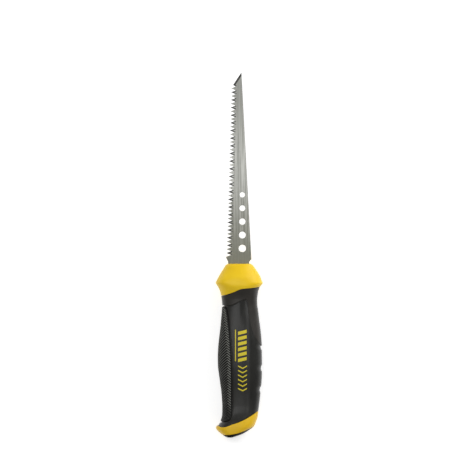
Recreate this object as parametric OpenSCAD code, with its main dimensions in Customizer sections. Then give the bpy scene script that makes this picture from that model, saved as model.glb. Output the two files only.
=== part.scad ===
// Drywall jab saw with a fixed, pointed blade.
// The blade's tang is bolted between the two halves of a hard core.  The core carries a flared
// bolster at the front, a rubber grip with two inlaid pads, a hooked pommel and a butt cap.
// The saw lies on its side: +Y runs from butt to point, the teeth face -X, and the blade's
// mid-plane is parallel to the floor.

/* [Blade] */

// Y of the blade's point
tip_y = 138.2; // [130:0.1:145]
// plate thickness
blade_t = 1.2; // [0.9:0.1:1.6]
// X of the back edge at Y = 0
back_x0 = 9.1; // [8.6:0.1:9.6]
// how much the back edge closes in for each millimetre towards the point
back_slope = 0.053; // [0.04:0.001:0.06]
// X of the line of tooth points at Y = 0
points_x0 = -9.8; // [-10.4:0.1:-9.4]
// how much the line of tooth points closes in for each millimetre towards the point
points_slope = 0.028; // [0.02:0.001:0.035]
// Y where the slanted plunge edge meets the line of tooth points
plunge_y = 126; // [120:0.5:130]
// width of the ground face along the plunge edge
plunge_grind = 1.5; // [0.8:0.1:2.5]

/* [Teeth] */

// distance from one tooth point to the next
tooth_pitch = 2.9; // [2.4:0.1:4]
// depth of a gullet
tooth_depth = 4.4; // [2.5:0.1:5]
// Y of the gullet nearest the blade's point
first_gullet_y = 127.35; // [120:0.05:130]
// number of gullets
gullet_count = 45; // [20:1:46]
// lean of the ground tooth faces, alternating from gullet to gullet
tooth_lean = 35; // [0:1:40]
// width of the flat bottom of a gullet
gullet_flat = 0.3; // [0.1:0.1:0.6]

/* [Blade holes] */

// number of round holes in the plate
hole_count = 5; // [1:1:5]
// X of the row of holes
hole_x = 2.4; // [1:0.1:3.5]
// Y of the smallest hole, the one furthest from the handle
hole_first_y = 45.3; // [44:0.1:60]
// spacing of the holes
hole_pitch = 10.15; // [9:0.05:10.5]
// radius of the smallest hole
hole_first_r = 2.0; // [1.5:0.1:2.4]
// how much each hole's radius grows towards the handle
hole_growth = 0.2; // [0:0.05:0.25]

/* [Handle] */

// greatest thickness of the handle, which is also the height of the saw as it lies
handle_t = 29; // [27:0.5:30]
// fullness of the handle's cross-section: 2 is an ellipse, larger is squarer
section_power = 2.6; // [2.2:0.1:3.2]
// depth of the inlaid pads
pad_t = 1.6; // [1:0.1:1.8]
// how far the palm pad's faces lie below the collar
palm_step = 0.5; // [0:0.1:0.8]
// width of the groove around the finger pad
groove_w = 0.8; // [0.4:0.1:1.2]
// depth of the groove around the finger pad
groove_depth = 0.7; // [0.3:0.1:1]

/* [Core and fasteners] */

// thickness of the core's two halves together
core_t = 11; // [9:0.5:11.5]
// Y of the three tang bolts, front to rear
bolt_front_y = -34; // [-38:1:-30]
bolt_middle_y = -56; // [-60:1:-50]
bolt_rear_y = -78; // [-79:1:-72]
// outside diameter of a sleeve nut, which the tang hangs on
sleeve_d = 5; // [4.4:0.1:6]
// thread diameter of a tang bolt
bolt_d = 3.4; // [3:0.1:3.8]
// diameter of the bolt and nut heads
head_d = 8; // [7:0.5:9]
// thickness of the bolt and nut heads
head_t = 1.8; // [1.4:0.1:2.2]
// distance of the butt screws from the blade's mid-plane
butt_screw_z = 3.2; // [3:0.1:3.4]
// X of the butt screws
butt_screw_x = -3; // [-5:0.5:0]

/* [Hidden] */

mid_z = handle_t / 2;
fit = 0.05;                 // clearance between parts that slide together
cut = 1;                    // overrun of cutting shapes
thin = 0.02;                // thickness of a loft slice
wide = 40;                  // reach of the region shapes past the handle
groove_overlap = 0.3;       // how far the groove's cutter runs into the palm pad's pocket
section_points = 32;

bolster_y = -6.9;           // front face of the bolster
heel_y = -1.7;              // last tooth point
neck_y = -5.5;              // where the plate narrows into the bolster's slot
tang_y = -14;               // where the plate narrows again into the tang
tang_end_y = -84;
core_front_y = -11;
core_end_y = -129;
butt_head_y = -131.5;       // underside of the butt screws' heads
butt_screw_end_y = -113;
butt_screw_d = 3;
butt_head_d = 5.4;
butt_head_t = 2;

steel = [0.66, 0.67, 0.65];
zinc = [0.74, 0.74, 0.72];
yellow = [0.88, 0.71, 0.12];
core_black = [0.16, 0.16, 0.17];
rubber = [0.20, 0.20, 0.20];
pad_rubber = [0.15, 0.15, 0.15];

// The handle's cross-sections from bolster to butt: [Y, left X, right X, half thickness].
// The half thickness runs past handle_t / 2 at the bolster and the pommel, where flat lands
// are cut for the saw to lie on.
stations = [
    [-6.9, -9.3, 9.3, 7.6],
    [-8, -10.3, 10.4, 8.8],
    [-11, -12.2, 12.6, 10.6],
    [-14, -14.1, 14.6, 12.5],
    [-17, -15.8, 16.2, 14.4],
    [-20, -17.3, 17.3, 16],
    [-21.4, -17.9, 17.9, 16.4],
    [-22.6, -17.2, 17.2, 16],
    [-25, -15.7, 15.5, 14.4],
    [-28, -14.4, 14.5, 12.4],
    [-31, -13.7, 14, 11],
    [-34, -13.2, 13.7, 10.6],
    [-38, -12.9, 13.8, 10.5],
    [-42, -13, 14.4, 10.7],
    [-48, -13.5, 15.1, 11.1],
    [-54, -14, 15.9, 11.6],
    [-60, -14.7, 16.6, 12.1],
    [-66, -15.4, 17.1, 12.5],
    [-72, -15.9, 17.4, 12.8],
    [-78, -16.1, 17.5, 12.9],
    [-84, -16, 17.6, 12.8],
    [-90, -15.3, 17.5, 12.5],
    [-96, -14.5, 17.2, 12.1],
    [-102, -13.7, 16.7, 11.6],
    [-108, -13.1, 16, 11.3],
    [-114, -12.8, 15.3, 11.2],
    [-119, -12.9, 14.6, 11.6],
    [-123, -13.4, 14, 12.6],
    [-126, -14.5, 13, 13.8],
    [-129, -16.4, 11.8, 14.9],
    [-130.8, -17.6, 10.6, 15.3],
    [-132, -17.3, 8.8, 15.3],
    [-134, -15.6, 5.8, 15],
    [-136, -13.2, 2.1, 14.4],
    [-137.3, -11.3, -1.6, 13.6],
    [-138.1, -9.8, -4.2, 12.8]
];

// Seams across the handle, each from left to right.
bolster_seam = [
    [-13.4, -31.2], [-9.7, -30.4], [-4.4, -28.7], [-0.5, -27],
    [1.9, -26.2], [6.5, -25.7], [11.9, -25.2], [15.6, -24.6]
];
pommel_seam = [
    [-16, -129.2], [-13.1, -130.2], [-10, -129.9], [-5.3, -128.2],
    [-0.1, -126.4], [5.1, -124], [10.3, -121.1], [14, -118.8]
];
cap_seam = [[-11.1, -136.5], [-7.5, -136.3], [-2.8, -135.5], [2.5, -133.9], [6.4, -132.3], [10, -130.7]];

// The finger pad's border from the collar down to the pommel, then back out to the side.
finger_border = [
    [-wide, -38.6], [-12, -38.9], [-10.2, -40.6], [-9.4, -44], [-8.2, -53], [-6.9, -66],
    [-6, -80], [-5.7, -95], [-5.7, -117], [-6.4, -122.6], [-8, -124.6], [-11.5, -125.6],
    [-wide, -125.8]
];

// The palm pad's border: the step line below the collar, then down and out to the palm side,
// and back round the lower end of the finger pad and up its other side.
palm_border = [
    [-9.4, -38.9], [-5.7, -38.4], [-2.5, -36.9], [1.3, -35], [4.6, -33.8], [6, -34.6],
    [6.6, -37], [7.4, -47], [9.2, -55], [12.5, -63], [17.3, -69], [wide, -74],
    [wide, -wide * 4], [-wide, -wide * 4], [-wide, -126.9], [-13, -126.7], [-9.4, -126.2],
    [-7, -125], [-5.5, -122.6], [-4.9, -118], [-4.9, -95], [-5.2, -80], [-6.1, -66], [-7.4, -53],
    [-8.6, -44]
];

// The core's outline seen from above.
core_outline = [
    [-7.6, core_front_y], [7.6, core_front_y], [9.4, -30], [10, -40], [12.5, -60], [13.6, -80],
    [13.2, -98], [11, -116], [6, core_end_y], [-9, core_end_y], [-9, -112], [-10.6, -98],
    [-12.2, -80], [-10.8, -60], [-9.2, -40], [-9.2, -30]
];

// Y and depth of the shallow thumb notches on the palm side.
palm_notches = [-69.2, -85.8, -101.6];
notch_depth = 0.8;
notch_r = 6;

function back_x(y) = back_x0 - y * back_slope;
function points_x(y) = points_x0 + y * points_slope;
function root_x(y) = points_x(y) + tooth_depth;
function signed_power(v, p) = sign(v) * pow(abs(v), p);
function first(list) = list[0];
function last(list) = list[len(list) - 1];

// ---- blade ---------------------------------------------------------------------------------

// Points around the tang, grown by gap so that they can also cut the pocket that holds it.
function tang_points(gap) = [
    [-8.4 - gap, neck_y], [-8.4 - gap, tang_y], [-7 - gap, tang_y - 3],
    [-5 - gap, tang_end_y - gap], [5 + gap, tang_end_y - gap],
    [6.2 + gap, tang_y - 3], [7.6 + gap, tang_y], [7.6 + gap, neck_y]
];

module blade_outline() {
    polygon(concat(
        [[back_x(tip_y), tip_y], [points_x(plunge_y), plunge_y], [points_x(heel_y), heel_y]],
        tang_points(0),
        [[back_x(neck_y + 2), neck_y + 2]]
    ));
}

// A leaning gullet moves along Y by shift at the plate's faces.  Its flanks open so far that two
// gullets leaning apart still meet in a sharp point there.  The profile is drawn across the lean.
module gullet(y, lean) {
    shift = blade_t / 2 * tan(abs(lean));
    reach = tooth_depth + cut;
    half_flat = gullet_flat / 2;
    half_mouth = half_flat + reach * (tooth_pitch / 2 - half_flat + shift) / tooth_depth;
    squeeze = cos(lean);
    translate([root_x(y), y, mid_z])
        rotate([lean, 0, 0])
            linear_extrude(blade_t * 4, center = true)
                polygon([
                    [0, half_flat * squeeze], [-reach, half_mouth * squeeze],
                    [-reach, -half_mouth * squeeze], [0, -half_flat * squeeze]
                ]);
}

// Ground face along the plunge edge, cut from one side of the plate (side is 1 or -1).
module plunge_cutter(side) {
    run = [points_x(plunge_y) - back_x(tip_y), plunge_y - tip_y];
    edge_angle = atan2(run[1], run[0]) + 90;
    translate([back_x(tip_y), tip_y, mid_z])
        rotate([0, 0, edge_angle])
            rotate([90, 0, 0])
                linear_extrude(norm(run) * 3, center = true)
                    polygon([
                        [-cut, side * 0.05 - side * cut * blade_t / 2 / plunge_grind],
                        [plunge_grind, side * blade_t / 2],
                        [plunge_grind, side * (blade_t / 2 + cut)],
                        [-cut, side * (blade_t / 2 + cut)]
                    ]);
}

module blade() {
    color(steel)
        difference() {
            translate([0, 0, mid_z - blade_t / 2])
                linear_extrude(blade_t)
                    blade_outline();
            for (i = [0 : gullet_count - 1])
                gullet(first_gullet_y - i * tooth_pitch, i % 2 == 0 ? -tooth_lean : tooth_lean);
            for (side = [-1, 1])
                plunge_cutter(side);
            for (i = [0 : hole_count - 1])
                translate([hole_x, hole_first_y - i * hole_pitch, mid_z - cut])
                    cylinder(r = hole_first_r + i * hole_growth, h = 2 * cut, $fn = 64);
            for (y = [bolt_front_y, bolt_middle_y, bolt_rear_y])
                translate([0, y, mid_z - cut])
                    cylinder(d = sleeve_d + 2 * fit, h = 2 * cut, $fn = 64);
        }
}

// ---- core and tang fasteners ---------------------------------------------------------------

module core_bores() {
    for (y = [bolt_front_y, bolt_middle_y, bolt_rear_y])
        translate([0, y, mid_z]) {
            translate([0, 0, -core_t])
                cylinder(d = sleeve_d + 2 * fit, h = 2 * core_t, $fn = 64);
            for (side = [-1, 1])
                translate([0, 0, side * (core_t / 2 - head_t / 2)])
                    translate([0, 0, side * fit])
                        cylinder(d = head_d + 4 * fit, h = head_t + 2 * fit, center = true, $fn = 64);
        }
    for (side = [-1, 1])
        translate([butt_screw_x, core_end_y - cut, mid_z + side * butt_screw_z])
            rotate([-90, 0, 0])
                cylinder(d = butt_screw_d, h = butt_screw_end_y - core_end_y + cut + fit, $fn = 48);
}

// The lower half carries the pocket for the tang, so the two halves close around it.
module core_lower() {
    color(core_black)
        difference() {
            translate([0, 0, mid_z - core_t / 2])
                linear_extrude(core_t / 2 + blade_t / 2)
                    polygon(core_outline);
            translate([0, 0, mid_z - blade_t / 2])
                linear_extrude(blade_t + cut)
                    polygon(tang_points(fit));
            core_bores();
        }
}

module core_upper() {
    color(core_black)
        difference() {
            translate([0, 0, mid_z + blade_t / 2])
                linear_extrude(core_t / 2 - blade_t / 2)
                    polygon(core_outline);
            core_bores();
        }
}

// Bolt with a socket head, let into the upper half of the core.
module tang_bolt(y) {
    color(zinc)
        translate([0, y, mid_z])
            difference() {
                union() {
                    translate([0, 0, core_t / 2 - head_t])
                        cylinder(d = head_d, h = head_t, $fn = 64);
                    translate([0, 0, -core_t / 4])
                        cylinder(d = bolt_d, h = core_t * 3 / 4 - head_t / 2, $fn = 48);
                }
                translate([0, 0, core_t / 2 - head_t * 0.7])
                    cylinder(d = head_d * 0.4, h = head_t, $fn = 6);
            }
}

// Tubular nut that the bolt screws into, let into the lower half of the core.
module sleeve_nut(y) {
    color(zinc)
        translate([0, y, mid_z - core_t / 2])
            difference() {
                union() {
                    cylinder(d = head_d, h = head_t, $fn = 64);
                    cylinder(d = sleeve_d, h = core_t - head_t - fit, $fn = 64);
                }
                translate([0, 0, head_t])
                    cylinder(d = bolt_d + 2 * fit, h = core_t, $fn = 48);
                translate([0, 0, -cut])
                    cylinder(d = head_d * 0.4, h = cut + head_t * 0.7, $fn = 6);
            }
}

// ---- handle loft and regions ---------------------------------------------------------------

// One cross-section, drawn in by side on its narrow edges and by face on its broad faces.
module slice(s, side, face) {
    centre_x = (s[1] + s[2]) / 2;
    half_w = (s[2] - s[1]) / 2 - side;
    half_t = s[3] - face;
    translate([centre_x, s[0], mid_z])
        rotate([90, 0, 0])
            linear_extrude(thin, center = true)
                polygon([
                    for (i = [0 : section_points - 1])
                        let (a = 360 * i / section_points)
                            [half_w * signed_power(cos(a), 2 / section_power),
                             half_t * signed_power(sin(a), 2 / section_power)]
                ]);
}

module handle_loft(side = 0, face = 0) {
    for (i = [0 : len(stations) - 2])
        hull() {
            slice(stations[i], side, face);
            slice(stations[i + 1], side, face);
        }
}

// The loft cut off flat where the saw rests.
module handle_body() {
    intersection() {
        handle_loft();
        translate([-wide, -4 * wide, 0])
            cube([2 * wide, 4 * wide, handle_t]);
    }
}

// A prism over everything between an upper and a lower seam.
module between(upper, lower) {
    translate([0, 0, -cut])
        linear_extrude(handle_t + 2 * cut)
            polygon(concat(
                [[-wide, first(upper)[1]]], upper, [[wide, last(upper)[1] + 4]],
                [[wide, last(lower)[1] + 12]],
                [for (i = [len(lower) - 1 : -1 : 0]) lower[i]],
                [[-wide, first(lower)[1]]]
            ));
}

module core_space() {
    translate([0, 0, mid_z - core_t / 2])
        linear_extrude(core_t)
            polygon(core_outline);
}

module over_border(border) {
    translate([0, 0, -cut])
        linear_extrude(handle_t + 2 * cut)
            polygon(border);
}

module grip_region() {
    between(bolster_seam, pommel_seam);
}

// ---- bolster -------------------------------------------------------------------------------

module bolster() {
    color(yellow)
        difference() {
            intersection() {
                handle_body();
                between([[-wide + 1, 0], [wide - 1, 0]], bolster_seam);
            }
            core_space();
            translate([-8.4 - fit, -wide, mid_z - blade_t / 2 - fit])
                cube([16 + 2 * fit, wide, blade_t + 2 * fit]);
        }
}

// ---- grip ----------------------------------------------------------------------------------

// The rubber layer that a pad fills, under the handle's surface.
module pad_layer(drop) {
    difference() {
        handle_loft(0, drop);
        handle_loft(pad_t, pad_t + drop);
    }
}

module notch_cutters() {
    for (y = palm_notches)
        translate([17.3 + notch_r - notch_depth - abs(y + 78) * 0.02, y, -cut])
            cylinder(r = notch_r, h = handle_t + 2 * cut, $fn = 48);
}

module finger_pad() {
    color(pad_rubber)
        intersection() {
            pad_layer(0);
            grip_region();
            over_border(finger_border);
        }
}

module palm_pad() {
    color(rubber)
        difference() {
            intersection() {
                pad_layer(palm_step);
                grip_region();
                over_border(palm_border);
            }
            notch_cutters();
        }
}

module grip_sleeve() {
    color(rubber)
        difference() {
            intersection() {
                handle_body();
                grip_region();
            }
            core_space();
            difference() {
                over_border(finger_border);
                handle_loft(pad_t, pad_t);
            }
            difference() {
                over_border(palm_border);
                handle_loft(pad_t, pad_t + palm_step);
            }
            difference() {
                translate([0, 0, -cut])
                    linear_extrude(handle_t + 2 * cut)
                        offset(delta = groove_w + groove_overlap)
                            polygon(finger_border);
                handle_loft(groove_depth, groove_depth);
            }
        }
}

// ---- pommel and butt -----------------------------------------------------------------------

module pommel() {
    color(yellow)
        difference() {
            intersection() {
                handle_body();
                between(pommel_seam, cap_seam);
            }
            core_space();
            for (side = [-1, 1])
                translate([butt_screw_x, 0, mid_z + side * butt_screw_z])
                    rotate([90, 0, 0]) {
                        cylinder(d = butt_screw_d + 0.2, h = 4 * wide, $fn = 32);
                        translate([0, 0, -butt_head_y - fit])
                            cylinder(d = butt_head_d + 0.3, h = wide, $fn = 32);
                    }
        }
}

module butt_cap() {
    color(rubber)
        intersection() {
            handle_body();
            between(cap_seam, [[-wide + 1, -4 * wide], [wide - 1, -4 * wide]]);
        }
}

// Pan-head screw that draws the pommel onto one half of the core (side is 1 or -1).
module butt_screw(side) {
    color(zinc)
        translate([butt_screw_x, butt_head_y, mid_z + side * butt_screw_z])
            rotate([90, 0, 0])
                difference() {
                    union() {
                        cylinder(d = butt_head_d, h = butt_head_t, $fn = 48);
                        translate([0, 0, butt_head_y - butt_screw_end_y])
                            cylinder(d = butt_screw_d, h = butt_screw_end_y - butt_head_y + cut, $fn = 48);
                    }
                    for (turn = [0, 90])
                        rotate([0, 0, turn])
                            translate([-1.4, -0.3, butt_head_t - 1])
                                cube([2.8, 0.6, 2]);
                }
}

blade();
core_lower();
core_upper();
tang_bolt(bolt_front_y);  // tang_bolt_front
tang_bolt(bolt_middle_y);  // tang_bolt_middle
tang_bolt(bolt_rear_y);  // tang_bolt_rear
sleeve_nut(bolt_front_y);  // sleeve_nut_front
sleeve_nut(bolt_middle_y);  // sleeve_nut_middle
sleeve_nut(bolt_rear_y);  // sleeve_nut_rear
bolster();
grip_sleeve();
finger_pad();
palm_pad();
pommel();
butt_cap();
butt_screw(-1);  // butt_screw_lower
butt_screw(1);  // butt_screw_upper
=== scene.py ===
"""Looks of the drywall saw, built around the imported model.

Shapes are written in millimetres in the model's frame and become metres when a mesh is made.
+Y runs from butt to point, the teeth face -X, and the blade's mid-plane is at MID_Z.
"""

import math

import bmesh
import bpy
import numpy as np
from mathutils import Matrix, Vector, geometry, kdtree


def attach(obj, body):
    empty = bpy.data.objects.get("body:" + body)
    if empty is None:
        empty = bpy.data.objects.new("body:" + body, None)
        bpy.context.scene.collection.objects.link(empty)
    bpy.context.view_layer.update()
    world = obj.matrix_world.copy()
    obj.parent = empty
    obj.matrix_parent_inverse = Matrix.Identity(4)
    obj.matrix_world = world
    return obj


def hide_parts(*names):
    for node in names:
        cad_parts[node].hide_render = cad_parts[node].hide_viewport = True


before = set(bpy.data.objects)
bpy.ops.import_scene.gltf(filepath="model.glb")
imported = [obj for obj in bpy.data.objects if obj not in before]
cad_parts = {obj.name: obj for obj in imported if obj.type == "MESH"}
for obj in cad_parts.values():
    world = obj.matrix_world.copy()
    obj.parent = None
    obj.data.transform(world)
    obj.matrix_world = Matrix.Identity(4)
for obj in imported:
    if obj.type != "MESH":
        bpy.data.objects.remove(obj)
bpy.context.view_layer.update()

MM = 0.001
MID_Z = 14.5                # height of the blade's mid-plane
LAND = 14.45                # half thickness at the flat lands that the saw lies on
LAND_SOFTNESS = 0.45        # how gently the handle's faces run into the lands
SECTION_POWER = 2.6         # 2 is an ellipse, larger is squarer
TURN = 2 * math.pi

# ---- handle's surface -------------------------------------

def share(value, start, end):
    """How far the value has gone from start to end, kept within 0 to 1."""
    return np.clip((value - start) / (end - start), 0, 1)


def eased(value, start, end):
    """The same share, but leaving 0 and reaching 1 gently."""
    t = share(value, start, end)
    return t * t * (3 - 2 * t)


# Sections from the bolster's front to the butt: Y, left X, right X, half thickness.
STATIONS = (
    (-6.9, -9.3, 9.3, 7.6),
    (-8, -10.3, 10.4, 8.8),
    (-11, -12.2, 12.6, 10.6),
    (-14, -14.1, 14.6, 12.3),
    (-17, -15.8, 16.2, 13.8),
    (-20, -17.3, 17.3, 14.8),
    (-21.4, -17.9, 17.9, 15),
    (-22.6, -17.2, 17.3, 14.9),
    (-25, -15.7, 15.5, 13.9),
    (-28, -14.4, 14.5, 12.3),
    (-31, -13.7, 14, 11.1),
    (-34, -13.2, 13.7, 10.6),
    (-38, -12.9, 13.8, 10.5),
    (-42, -13, 14.4, 10.7),
    (-48, -13.5, 15.1, 11.1),
    (-54, -14, 15.9, 11.6),
    (-60, -14.7, 16.6, 12.1),
    (-66, -15.4, 17.1, 12.5),
    (-72, -15.9, 17.4, 12.8),
    (-78, -16.1, 17.5, 12.9),
    (-84, -16, 17.6, 12.8),
    (-90, -15.3, 17.5, 12.5),
    (-96, -14.5, 17.2, 12.1),
    (-102, -13.7, 16.7, 11.6),
    (-108, -13.1, 16, 11.3),
    (-114, -12.8, 15.3, 11.2),
    (-119, -12.9, 14.6, 11.6),
    (-123, -13.4, 14, 12.6),
    (-126, -14.5, 13, 13.7),
    (-129, -16.4, 11.8, 14.6),
    (-130.8, -17.6, 10.6, 15),
    (-132, -17.3, 8.8, 15),
    (-134, -15.6, 5.8, 14.8),
    (-136, -13.2, 2.1, 14.3),
    (-137.3, -11.3, -1.6, 13.6),
    (-138.1, -9.8, -4.2, 12.8),
)
FRONT_Y = STATIONS[0][0]
BUTT_Y = STATIONS[-1][0]


def smooth_curve(points):
    """Curve through the points that never overshoots them (monotone cubic), flat past its ends."""
    points = sorted(points)
    x = np.array([p[0] for p in points], float)
    y = np.array([p[1] for p in points], float)
    step = np.diff(x)
    rise = np.diff(y) / step
    slope = np.zeros(len(x))
    slope[0] = rise[0]
    slope[-1] = rise[-1]
    for i in range(1, len(x) - 1):
        if rise[i - 1] * rise[i] > 0:
            w0 = 2 * step[i] + step[i - 1]
            w1 = step[i] + 2 * step[i - 1]
            slope[i] = (w0 + w1) / (w0 / rise[i - 1] + w1 / rise[i])

    def at(q):
        q = np.asarray(q, float)
        i = np.clip(np.searchsorted(x, q, side="right") - 1, 0, len(step) - 1)
        t = np.clip((q - x[i]) / step[i], 0, 1)
        h = step[i]
        return (
            (1 + 2 * t) * (1 - t) ** 2 * y[i]
            + t * (1 - t) ** 2 * h * slope[i]
            + t * t * (3 - 2 * t) * y[i + 1]
            - t * t * (1 - t) * h * slope[i + 1]
        )

    return at


left_side = smooth_curve([(s[0], s[1]) for s in STATIONS])
right_side = smooth_curve([(s[0], s[2]) for s in STATIONS])
half_thickness = smooth_curve([(s[0], s[3]) for s in STATIONS])


def soft_limit(value, limit, softness):
    """The value, levelling off at the limit. Close to zero it is kept as it is."""
    size = np.abs(value)
    levelled = -softness * np.logaddexp(-size / softness, -limit / softness)
    return np.sign(value) * np.where(size < 0.1, size, np.maximum(levelled, 0))


def raw_skin(angle, y):
    """Point of the handle's surface at an angle round its section: 0 is +X, 90 degrees is up."""
    angle, y = np.broadcast_arrays(angle, y)
    c, s = np.cos(angle), np.sin(angle)
    reach = (np.abs(c) ** SECTION_POWER + np.abs(s) ** SECTION_POWER) ** (-1 / SECTION_POWER)
    left, right = left_side(y), right_side(y)
    x = (left + right) / 2 + (right - left) / 2 * reach * c
    z = soft_limit(half_thickness(y) * reach * s, LAND, LAND_SOFTNESS)
    return np.stack([x, y, z], axis=-1)


def skin(angle, y, lift=0.0):
    """The surface raised by lift along its normal, with the mid-plane at z = 0."""
    y = np.clip(y, BUTT_Y, FRONT_Y)
    turn, move = 2e-3, 0.02     # small steps that the normal is taken from
    along = raw_skin(angle, y + move) - raw_skin(angle, y - move)
    along[..., 1] = 2 * move
    around = raw_skin(angle + turn, y) - raw_skin(angle - turn, y)
    normal = np.cross(along, around)
    normal /= np.linalg.norm(normal, axis=-1, keepdims=True)
    return raw_skin(angle, y) + np.asarray(lift)[..., None] * normal


def angle_at(x, y):
    """Angle, on the upper half of the section at y, of the point above x."""
    left, right = left_side(y), right_side(y)
    t = np.clip((x - (left + right) / 2) / ((right - left) / 2), -1, 1)
    height = np.maximum(1 - np.abs(t) ** SECTION_POWER, 0) ** (1 / SECTION_POWER)
    return np.arctan2(height, t)


def meet(angle_of, line, span, shape):
    """Y in the span where each column, whose angle at y is angle_of(y), crosses the seam line(x),
    found by halving the span."""
    low = np.full(shape, float(span[0]))
    high = np.full(shape, float(span[1]))
    for _ in range(30):
        y = (low + high) / 2
        above = y > line(raw_skin(angle_of(y), y)[..., 0])
        high = np.where(above, y, high)
        low = np.where(above, low, y)
    return (low + high) / 2


def crossing(angle, line, span):
    """The same for columns that keep their angle."""
    return meet(lambda y: angle, line, span, angle.shape)


# ---- seams ------------------------------------------------

# Each seam is a curve of Y over X, or of X over Y, with the span of Y that it lies in.
BOLSTER_SPAN = (-34, -20)
COLLAR_SPAN = (-75, -30)
GROOVE_SPAN = (-130, -116)
POMMEL_SPAN = (-134, -112)
CAP_SPAN = (-138, -128)
bolster_seam = smooth_curve([
    (-13.4, -31.2), (-9.7, -30.4), (-4.4, -28.7), (-0.5, -27), (1.9, -26.2),
    (6.5, -25.7), (11.9, -25.2), (15.6, -24.6),
])
pommel_seam = smooth_curve([
    (-16, -129.2), (-13.1, -130.2), (-10, -129.9), (-5.3, -128.2), (-0.1, -126.4),
    (5.1, -124), (10.3, -121.1), (14, -118.8),
])
cap_seam = smooth_curve([
    (-11.1, -136.5), (-7.5, -136.3), (-2.8, -135.5), (2.5, -133.9), (6.4, -132.3), (10, -130.7),
])
# Lower edge of the sleeve's collar, with the tail that runs down to the palm side.
collar_edge = smooth_curve([
    (-20, -38.4), (-9.4, -38.4), (-5.7, -38.1), (-2.5, -36.7), (1.3, -34.8), (4.4, -33.7),
    (5.4, -34), (6.1, -35.6), (6.7, -39), (7.6, -47), (9.3, -55), (12.6, -63), (16.5, -68.4),
    (18, -69.5),
])
# X over Y of the finger pad's border, and of the palm pad's border beyond the groove.
finger_edge = smooth_curve([
    (-39.1, -12.1), (-39.6, -11.1), (-40.8, -10.2), (-44, -9.4), (-53, -8.2), (-66, -6.9),
    (-80, -6), (-95, -5.7), (-117, -5.7), (-122, -6.2), (-124.4, -7.6), (-125.4, -9.6),
    (-125.9, -12.6),
])
palm_line = smooth_curve([
    (-36, -9), (-40, -9.3), (-44, -8.6), (-53, -7.4), (-66, -6.1), (-80, -5.2), (-95, -4.9),
    (-140, -4.9),
])
# The groove's lower end, where it turns round the finger pad towards the tooth side.
CORNER_Y = -118
groove_end = smooth_curve([
    (-20, -126.9), (-13, -126.7), (-9.4, -126.2), (-7, -125), (-5.5, -122.6), (-4.9, CORNER_Y),
])
FINGER_TOP, FINGER_END = -39.1, -125.9
SEAM_GAP = 0.12             # half the gap between neighbouring pieces
EDGE_R = 0.4                # rounding of the moulded edges
PALM_DROP = 0.6             # the palm pad's depth below the collar, over the grip's face
UNDER_DROP = 1.5            # depth of the sleeve's layer that the pads lie on
WALL = 2.4                  # depth of the sleeve's inner surface
PAD_DEPTH = 1.6             # depth of the pads' inner faces
VALLEY_X = 4.4              # shallow valley of the palm pad that starts below the collar's edge
VALLEY_HALF = 4.6
VALLEY_DEPTH = 0.65


def tail_fade(x):
    """1 over the grip's face, falling where the collar's tail runs down to the palm side."""
    return 1 - 0.72 * eased(x, 5, 9)


def tail_fade_in(x):
    """0 over the grip's face, rising to 1 where the collar's tail begins."""
    return eased(x, 4.6, 6.8)


def palm_drop(x):
    """How far the palm pad lies below the collar at x."""
    return PALM_DROP * tail_fade(x)


def valley(x, y):
    """Depth of the valley, which fades out above the marks."""
    across = np.cos(np.clip((x - VALLEY_X) / VALLEY_HALF, -1, 1) * math.pi / 2) ** 2
    return VALLEY_DEPTH * across * eased(y, -54, -38)


# Distances from an edge of the rows that round it.
EDGE_STEPS = np.array([0, 0.03, 0.1, 0.2, 0.32, 0.45])


def rounding(distance, radius=EDGE_R):
    """How far a surface drops at a distance from its rounded edge."""
    d = np.clip(distance, 0, radius)
    return -(radius - np.sqrt(np.maximum(radius ** 2 - (radius - d) ** 2, 0)))


def rows_between(top, bottom, count, scale_bottom=1.0):
    """Y of each row from top to bottom (arrays over the columns), close together at both edges,
    and the distance of each row from the nearer edge. scale_bottom spreads the last rows."""
    near_top = top - EDGE_STEPS[:, None]
    near_bottom = bottom + EDGE_STEPS[::-1, None] * scale_bottom
    t = np.linspace(0, 1, count + 2)[1:-1, None]
    middle = near_top[-1] * (1 - t) + near_bottom[0] * t
    y = np.concatenate([near_top, middle, near_bottom])
    far = np.full((count, 1), EDGE_R * 2)
    steps = np.concatenate([EDGE_STEPS[:, None], far, EDGE_STEPS[::-1, None]])
    return y, np.broadcast_to(steps, y.shape)


# ---- meshes -----------------------------------------------

def grid_faces(rows, columns, wraps_rows=False, wraps_columns=False, first=0):
    """Quads of a grid of points numbered row by row."""
    r = np.arange(rows if wraps_rows else rows - 1)
    c = np.arange(columns if wraps_columns else columns - 1)
    r, c = (a.ravel() for a in np.meshgrid(r, c, indexing="ij"))
    r1, c1 = (r + 1) % rows, (c + 1) % columns
    corners = ((r, c), (r1, c), (r1, c1), (r, c1))
    return first + np.stack([a * columns + b for a, b in corners], axis=-1)


def signed_volume(points, faces):
    """Six times the volume inside the faces, below zero if they face inward."""
    total = 0.0
    for face in faces:
        face = np.asarray(face).reshape(-1, np.asarray(face).shape[-1])
        a = points[face[:, 0]]
        for k in range(1, face.shape[1] - 1):
            b, c = points[face[:, k]], points[face[:, k + 1]]
            total += np.einsum("ij,ij->i", a, np.cross(b, c)).sum()
    return total


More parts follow.
